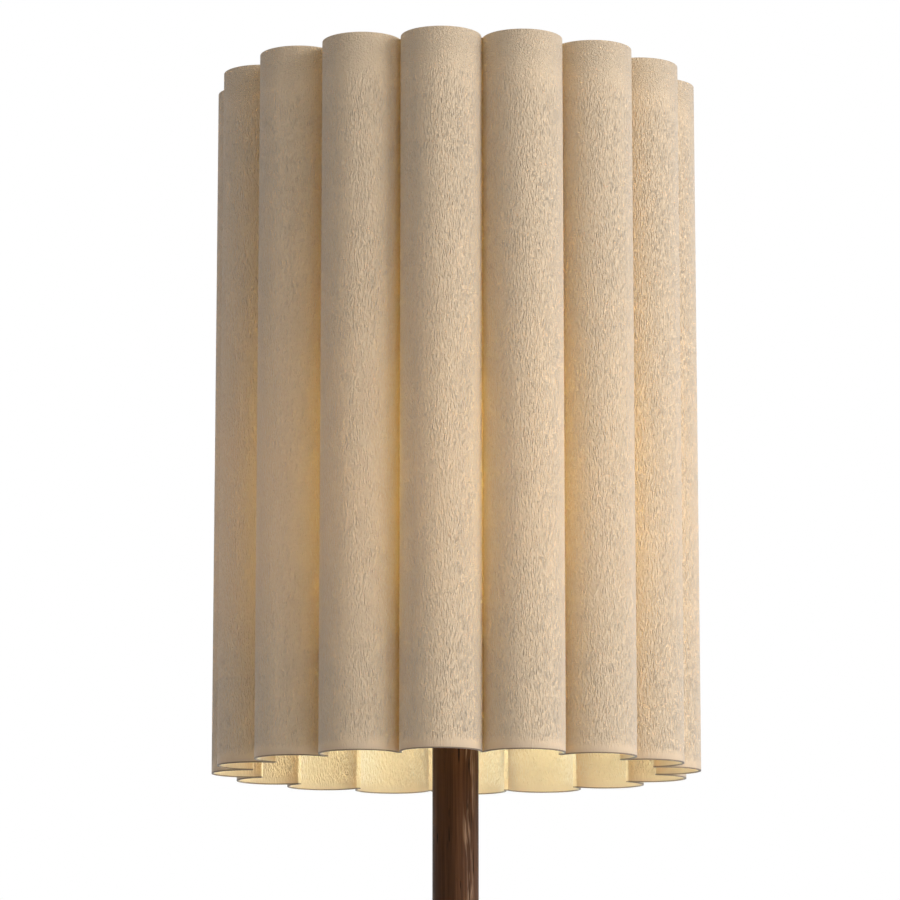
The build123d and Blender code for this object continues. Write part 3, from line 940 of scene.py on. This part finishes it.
@dataclass
class LampHolder:
    """The lamp holder with its turn switch and ring nut."""

    def dress(self, shared: SharedEffects, finishes: "SharedFinishes") -> None:
        """Dress the holder's nodes."""
        dress_nodes(
            finishes.black_plastic,
            "holder_cap", "holder_skirt", "shade_ring_nut", "switch_body", "switch_knob",
        )
        dress_nodes(
            finishes.brass,
            "switch_bushing", "switch_nut", "switch_spindle", "terminal_blocks",
            "centre_contact", "screw_shell",
        )
        dress_nodes(finishes.steel, "entry_grub_screw", "terminal_screws")
        glaze = CoatFinish(
            "glazed_porcelain", (0.82, 0.80, 0.76), (0.76, 0.74, 0.69), roughness=0.14,
            coat=0.5, skin_fineness=220.0, skin_depth=0.04 * MM,
        )
        dress_nodes(glaze.build(shared), "contact_block")


@dataclass
class LampBulb:
    """The screw-cap bulb, burning, and the light that it gives."""

    centre: float = 1.202
    radius: float = 0.0308
    watts: float = 4.10
    light: Colour = (0.93, 1.0, 0.76)

    def dress(self, shared: SharedEffects, finishes: "SharedFinishes") -> None:
        """Dress the bulb's nodes."""
        cap = MetalFinish(
            "rolled_aluminium", (0.78, 0.78, 0.77), (0.62, 0.61, 0.59), roughness=0.30
        )
        black = CoatFinish(
            "black_vitrite", (0.018, 0.018, 0.022), (0.028, 0.026, 0.030), roughness=0.10,
            coat=0.6, skin_fineness=400.0,
        )
        dress_nodes(cap.build(shared), "bulb_cap")
        dress_nodes(finishes.brass, "bulb_contact")
        dress_nodes(black.build(shared), "bulb_insulator")
        glass = LitGlassFinish("frosted_glass_lit", self.centre)
        dress_nodes(glass.build(shared), "bulb_globe")

    def light_up(self) -> None:
        """Put the bulb's light just round its globe."""
        data = bpy.data.lights.new("bulb_light", "POINT")
        data.energy = self.watts
        data.color = self.light
        data.shadow_soft_size = self.radius
        data.use_soft_falloff = False
        lamp = bpy.data.objects.new("bulb_light", data)
        lamp.location = (0.0, 0.0, self.centre)
        lamp.visible_camera = False
        lamp.visible_glossy = False
        unlit = bpy.data.collections.new("not_lit_by_the_bulb")
        unlit.objects.link(bpy.data.objects["bulb_globe"])
        unlit.collection_objects[0].light_linking.link_state = "EXCLUDE"
        lamp.light_linking.receiver_collection = unlit
        bpy.context.scene.collection.objects.link(lamp)
        LOG.info("bulb: lit, %.2f W", self.watts)


@dataclass
class WireCarrier:
    """The wire carrier in the shade, with its weld beads and the glue that holds the paper."""

    arm_angles: tuple[float, ...] = (11.25, 101.25, 191.25, 281.25)
    wire_height: float = 1.1136
    upper_height: float = 1.488
    ring_radius: float = 0.0290
    hoop_joint: float = 0.1277
    fold_radius: float = 0.13125
    lobe_count: int = 16
    ring_bead: Triple = (0.0021, 0.0023, 0.0020)
    hoop_bead: Triple = (0.0019, 0.0027, 0.0019)
    glue_bead: Triple = (0.0010, 0.0021, 0.0024)

    def _bead(self, radius: float, height: float, size: Triple) -> Piece:
        """Make one bead: a ball with a drawn-in waist, a broad crown and a flattened foot.

        Args:
            radius: how far from the upright axis it lies.
            height: its height.
            size: its half width along X, Y and Z.

        Returns:
            The bead, on the +X side.
        """
        deselect_all()
        bpy.ops.mesh.primitive_uv_sphere_add(
            segments=14, ring_count=9, radius=1.0, location=(radius, 0.0, height)
        )
        bead = bpy.context.object
        bead.scale = size
        bpy.ops.object.mode_set(mode="EDIT")
        pick_vertices(lambda co: abs(co.z) < 0.45 and co.x > 0.5)
        bpy.ops.transform.resize(value=(1.0, 0.82, 1.0))
        pick_vertices(lambda co: co.z > 0.75)
        bpy.ops.transform.resize(value=(0.9, 1.12, 0.9))
        pick_vertices(lambda co: co.z < -0.8)
        bpy.ops.transform.translate(value=(0.0, 0.0, 0.12 * size[2]))
        bpy.ops.object.mode_set(mode="OBJECT")
        bpy.ops.object.shade_smooth()
        apply_all(bead)
        return bead

    def build(self, material: Material, glue: Material) -> None:
        """Build the weld beads and the glue beads.

        Args:
            material: the wire's coating.
            glue: the glue.
        """
        ring = self._bead(self.ring_radius, self.wire_height, self.ring_bead)
        hoop = self._bead(self.hoop_joint, self.wire_height, self.hoop_bead)
        welds = repeat_round(ring, self.arm_angles) + repeat_round(hoop, self.arm_angles)
        weld = join_pieces(welds, "arm_weld_beads")
        cover(weld, material)
        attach(weld, "shade")
        angles = [360.0 * (i + 0.5) / self.lobe_count for i in range(self.lobe_count)]
        drops = []
        for height in (self.wire_height, self.upper_height):
            bead = self._bead(self.fold_radius, height, self.glue_bead)
            drops += repeat_round(bead, angles)
        beads = join_pieces(drops, "hoop_glue_beads")
        cover(beads, glue)
        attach(beads, "shade")

    def dress(self, material: Material) -> None:
        """Dress the carrier's nodes."""
        dress_nodes(material, "carrier_ring", "carrier_arms", "lower_hoop", "upper_hoop")


@dataclass
class FoldedShade:
    """The tall paper shade: 16 half-round lobes with tight folds between them."""

    lobe_count: int = 16
    circle_radius: float = 0.13327
    outer_radius: float = 0.02560
    inner_radius: float = 0.02440
    outer_fold: float = 0.13251
    inner_fold: float = 0.13131
    outer_corner: float = 0.00010
    inner_corner: float = 0.00040
    arc_steps: int = 34
    bottom: float = 1.045
    top: float = 1.500
    height_steps: int = 44
    buckle: float = 0.00008
    shading_angle: float = 38.0
    near: float = 0.00005

    def _line(self, radius: float, fold: float, corner: float) -> Piece:
        """Draw the line of the front lobe, as one side of the sheet, from fold to fold.

        Args:
            radius: the radius of the lobe.
            fold: how far from the axis the folds lie.
            corner: the rounding of each fold's corners.

        Returns:
            The line at the shade's lower rim.
        """
        half = math.pi / self.lobe_count
        reach = self.circle_radius
        sweep = math.acos((fold**2 - reach**2 - radius**2) / (2.0 * reach * radius))
        start = Vector((radius * math.sin(sweep), -reach - radius * math.cos(sweep), self.bottom))
        deselect_all()
        bpy.ops.mesh.primitive_plane_add(size=MM, location=start + Vector((MM, MM, 0.0)) * 0.5)
        line = bpy.context.object
        bpy.ops.object.transform_apply()
        bpy.ops.object.mode_set(mode="EDIT")
        pick_vertices(lambda co: (co - start).length > 2.0 * self.near)
        bpy.ops.mesh.delete(type="VERT")
        bpy.ops.mesh.select_all(action="SELECT")
        bpy.ops.mesh.spin(
            steps=self.arc_steps, angle=2.0 * sweep, center=(0.0, -reach, self.bottom),
            axis=(0.0, 0.0, 1.0),
        )
        end = Vector((-start.x, start.y, start.z))
        tip = Vector((fold * math.sin(half), -fold * math.cos(half), self.bottom))
        for corner_point, target in ((start, tip), (end, Vector((-tip.x, tip.y, tip.z)))):
            pick_vertices(lambda co, at=corner_point: (co - at).length < self.near)
            bpy.ops.mesh.extrude_region_move(
                TRANSFORM_OT_translate={"value": tuple(target - corner_point)}
            )
        pick_vertices(lambda co: min((co - start).length, (co - end).length) < self.near)
        bpy.ops.mesh.bevel(offset=corner, segments=3, affect="VERTICES", offset_type="OFFSET")
        bpy.ops.object.mode_set(mode="OBJECT")
        return line

    def build(self, material: Material) -> None:
        """Build the sheet: the cut edge of one lobe, repeated round and drawn up to the top.

        Args:
            material: the paper.
        """
        outer = self._line(self.outer_radius, self.outer_fold, self.outer_corner)
        inner = self._line(self.inner_radius, self.inner_fold, self.inner_corner)
        sheet = join_pieces([outer, inner], "shade_paper_skin")
        select(sheet)
        bpy.ops.object.mode_set(mode="EDIT")
        bpy.ops.mesh.select_all(action="SELECT")
        bpy.ops.mesh.bridge_edge_loops()
        bpy.ops.mesh.select_all(action="SELECT")
        bpy.ops.mesh.spin(
            steps=self.lobe_count, dupli=True, angle=2.0 * math.pi,
            center=(0.0, 0.0, 0.0), axis=(0.0, 0.0, 1.0),
        )
        bpy.ops.mesh.select_all(action="SELECT")
        bpy.ops.mesh.remove_doubles(threshold=0.02 * MM)
        bpy.ops.mesh.select_all(action="SELECT")
        step = (self.top - self.bottom) / self.height_steps
        for _ in range(self.height_steps):
            bpy.ops.mesh.extrude_region_move(TRANSFORM_OT_translate={"value": (0.0, 0.0, step)})
        bpy.ops.mesh.select_all(action="SELECT")
        bpy.ops.mesh.normals_make_consistent(inside=False)
        bpy.ops.object.mode_set(mode="OBJECT")
        self._unevenness(sheet)
        apply_all(sheet)
        bpy.ops.object.shade_smooth_by_angle(angle=math.radians(self.shading_angle))
        cover(sheet, material)
        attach(sheet, "shade")
        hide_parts("shade_skin")

    def _unevenness(self, sheet: Piece) -> None:
        """Make the sheet a little uneven, as formed paper is, both sides moving together."""
        for axis, size in (("X", 0.034), ("Y", 0.041)):
            name = "buckles_" + axis.lower()
            pattern = bpy.data.textures.new(name, "CLOUDS")
            pattern.noise_scale = size
            pattern.noise_depth = 1
            ripple = sheet.modifiers.new(name, "DISPLACE")
            ripple.texture = pattern
            ripple.texture_coords = "LOCAL"
            ripple.direction = axis
            ripple.mid_level = 0.5
            ripple.strength = self.buckle


@dataclass
class SharedFinishes:
    """The materials that more than one sub-assembly wears."""

    steel: Material
    brass: Material
    black_metal: Material
    black_plastic: Material
    wire: Material
    glue: Material

    @classmethod
    def build(cls, shared: SharedEffects) -> "SharedFinishes":
        """Build every shared material once."""
        return cls(
            steel=MetalFinish("zinc_steel", (0.60, 0.60, 0.60), (0.48, 0.49, 0.50)).build(shared),
            brass=MetalFinish("plain_brass", (0.72, 0.54, 0.27), (0.50, 0.34, 0.15)).build(shared),
            black_metal=CoatFinish(
                "black_powder_coat", (0.028, 0.028, 0.029), (0.036, 0.036, 0.037),
                roughness=0.48, skin_fineness=1500.0, skin_depth=0.05 * MM,
            ).build(shared),
            black_plastic=CoatFinish(
                "black_thermoset", (0.022, 0.022, 0.024), (0.030, 0.030, 0.032),
                roughness=0.34, skin_fineness=1900.0, skin_depth=0.02 * MM,
            ).build(shared),
            wire=CoatFinish(
                "cream_powder_coat", (0.66, 0.62, 0.54), (0.58, 0.54, 0.46),
                roughness=0.42, skin_fineness=1400.0, skin_depth=0.04 * MM, dust_amount=0.15,
            ).build(shared),
            glue=CoatFinish(
                "dried_glue", (0.74, 0.66, 0.50), (0.66, 0.56, 0.40),
                roughness=0.28, skin_fineness=500.0, skin_depth=0.05 * MM, dust_amount=0.1,
            ).build(shared),
        )


# The studio


@dataclass(frozen=True)
class Panel:
    """One large soft light: name, direction in degrees from the front, size and power."""

    name: str
    azimuth: float
    size: float
    watts: float


@dataclass
class Studio:
    """The pale floor, the soft lights and the camera."""

    floor_radius: float = 9.0
    floor_colour: Colour = (0.72, 0.71, 0.69)
    floor_cloud: Colour = (0.62, 0.61, 0.59)
    floor_roughness: float = 0.85
    floor_specular: float = 0.2
    fade_start: float = 1.2
    fade_end: float = 5.0
    ambient: float = 0.46
    panel_distance: float = 3.0
    panel_height: float = 2.0
    panel_target: float = 1.2
    panels: tuple[Panel, ...] = (
        Panel("front_light", 40.0, 2.0, 17.0),
        Panel("key_light", 67.0, 2.0, 88.0),
        Panel("side_light", 112.0, 2.0, 26.0),
        Panel("back_light", -150.0, 2.0, 16.0),
    )
    camera_azimuth: float = 3.906
    camera_distance: float = 2.5849
    camera_height: float = 0.7972
    camera_pitch: float = 10.091
    camera_pan: float = 0.0787
    lens: float = 159.83
    sensor: float = 36.0

    def _round(self, azimuth: float, distance: float, height: float) -> Vector:
        """Return a place round the lamp, its direction in degrees from the front."""
        angle = math.radians(azimuth)
        return Vector((distance * math.sin(angle), -distance * math.cos(angle), height))

    def _seen(self, work: NodeWork, path: Node) -> Socket:
        """Return 1 where the eye meets the place, directly, mirrored or through glass."""
        seen = path.outputs["Is Camera Ray"]
        for kind in ("Is Glossy Ray", "Is Transmission Ray"):
            seen = work.math("MAXIMUM", seen, path.outputs[kind])
        return seen

    def floor(self, shared: SharedEffects) -> None:
        """Lay the pale floor, which fades to white far out and is clear from below."""
        deselect_all()
        bpy.ops.mesh.primitive_circle_add(vertices=96, radius=self.floor_radius, fill_type="NGON")
        ground = bpy.context.object
        ground.name = "studio_floor"
        material, work, shader = new_material("pale_floor")
        place = work.place()
        cloud = shared.mottle(work, place, 3.0, 260.0, 0.4)
        work.feed(
            shader,
            Base_Color=work.blend(work.times(cloud, 0.10), self.floor_colour, self.floor_cloud),
            Roughness=self.floor_roughness,
            Specular_IOR_Level=self.floor_specular,
        )
        white = work.add("Emission")
        work.feed(white, Color=WHITE)
        far = work.spread(work.length(place), self.fade_start, self.fade_end, smooth=True)
        path = work.add("LightPath")
        fading = work.times(far, self._seen(work, path))
        surface = work.mixed(fading, shader.outputs[0], white.outputs[0])
        below = work.add("NewGeometry").outputs["Backfacing"]
        clear = work.add("BsdfTransparent")
        hidden = work.times(below, path.outputs["Is Camera Ray"])
        work.surface(work.mixed(hidden, surface, clear.outputs[0]))
        cover(ground, material)

    def world(self) -> None:
        """Surround the lamp with plain soft light and a white backdrop."""
        world = bpy.data.worlds.new("studio_world")
        bpy.context.scene.world = world
        world.use_nodes = True
        work = NodeWork(world.node_tree)
        seen = self._seen(work, work.add("LightPath"))
        backdrop = world.node_tree.nodes["Background"]
        work.feed(backdrop, Color=WHITE, Strength=work.between(seen, self.ambient, 1.0))

    def lights(self) -> None:
        """Hang the large soft panels, the strongest ones on the right."""
        for panel in self.panels:
            data = bpy.data.lights.new(panel.name, "AREA")
            data.shape = "SQUARE"
            data.size = panel.size
            data.energy = panel.watts
            lamp = bpy.data.objects.new(panel.name, data)
            lamp.location = self._round(panel.azimuth, self.panel_distance, self.panel_height)
            aim = Vector((0.0, 0.0, self.panel_target)) - lamp.location
            lamp.rotation_euler = aim.to_track_quat("-Z", "Y").to_euler()
            lamp.visible_camera = False
            bpy.context.scene.collection.objects.link(lamp)

    def camera(self) -> None:
        """Set up the camera where the photograph was taken from."""
        data = bpy.data.cameras.new("camera")
        data.lens = self.lens
        data.sensor_width = self.sensor
        data.sensor_fit = "HORIZONTAL"
        data.clip_start = 0.05
        data.clip_end = 60.0
        camera = bpy.data.objects.new("camera", data)
        place = self._round(self.camera_azimuth, self.camera_distance, self.camera_height)
        camera.location = place
        camera.rotation_euler = (
            math.radians(90.0 + self.camera_pitch),
            0.0,
            math.radians(self.camera_azimuth) + math.radians(self.camera_pan),
        )
        bpy.context.scene.collection.objects.link(camera)
        bpy.context.scene.camera = camera
        bpy.context.scene.view_settings.view_transform = "Standard"


def main() -> None:
    """Build, dress and light the lamp."""
    shared = SharedEffects.build()
    finishes = SharedFinishes.build(shared)
    studio = Studio()
    studio.camera()
    WeightedBase().dress(shared, finishes)
    TubedPole().dress(shared, finishes)
    LampHolder().dress(shared, finishes)
    bulb = LampBulb()
    bulb.dress(shared, finishes)
    carrier = WireCarrier()
    carrier.dress(finishes.wire)
    carrier.build(finishes.wire, finishes.glue)
    shade = FoldedShade()
    paper = PaperFinish("crinkled_paper", shade.bottom, shade.top)
    shade.build(paper.build(shared))
    bulb.light_up()
    studio.floor(shared)
    studio.world()
    studio.lights()
    LOG.info("studio: floor, world, %d panels and camera", len(studio.panels))


if __name__ == "__main__":
    main()
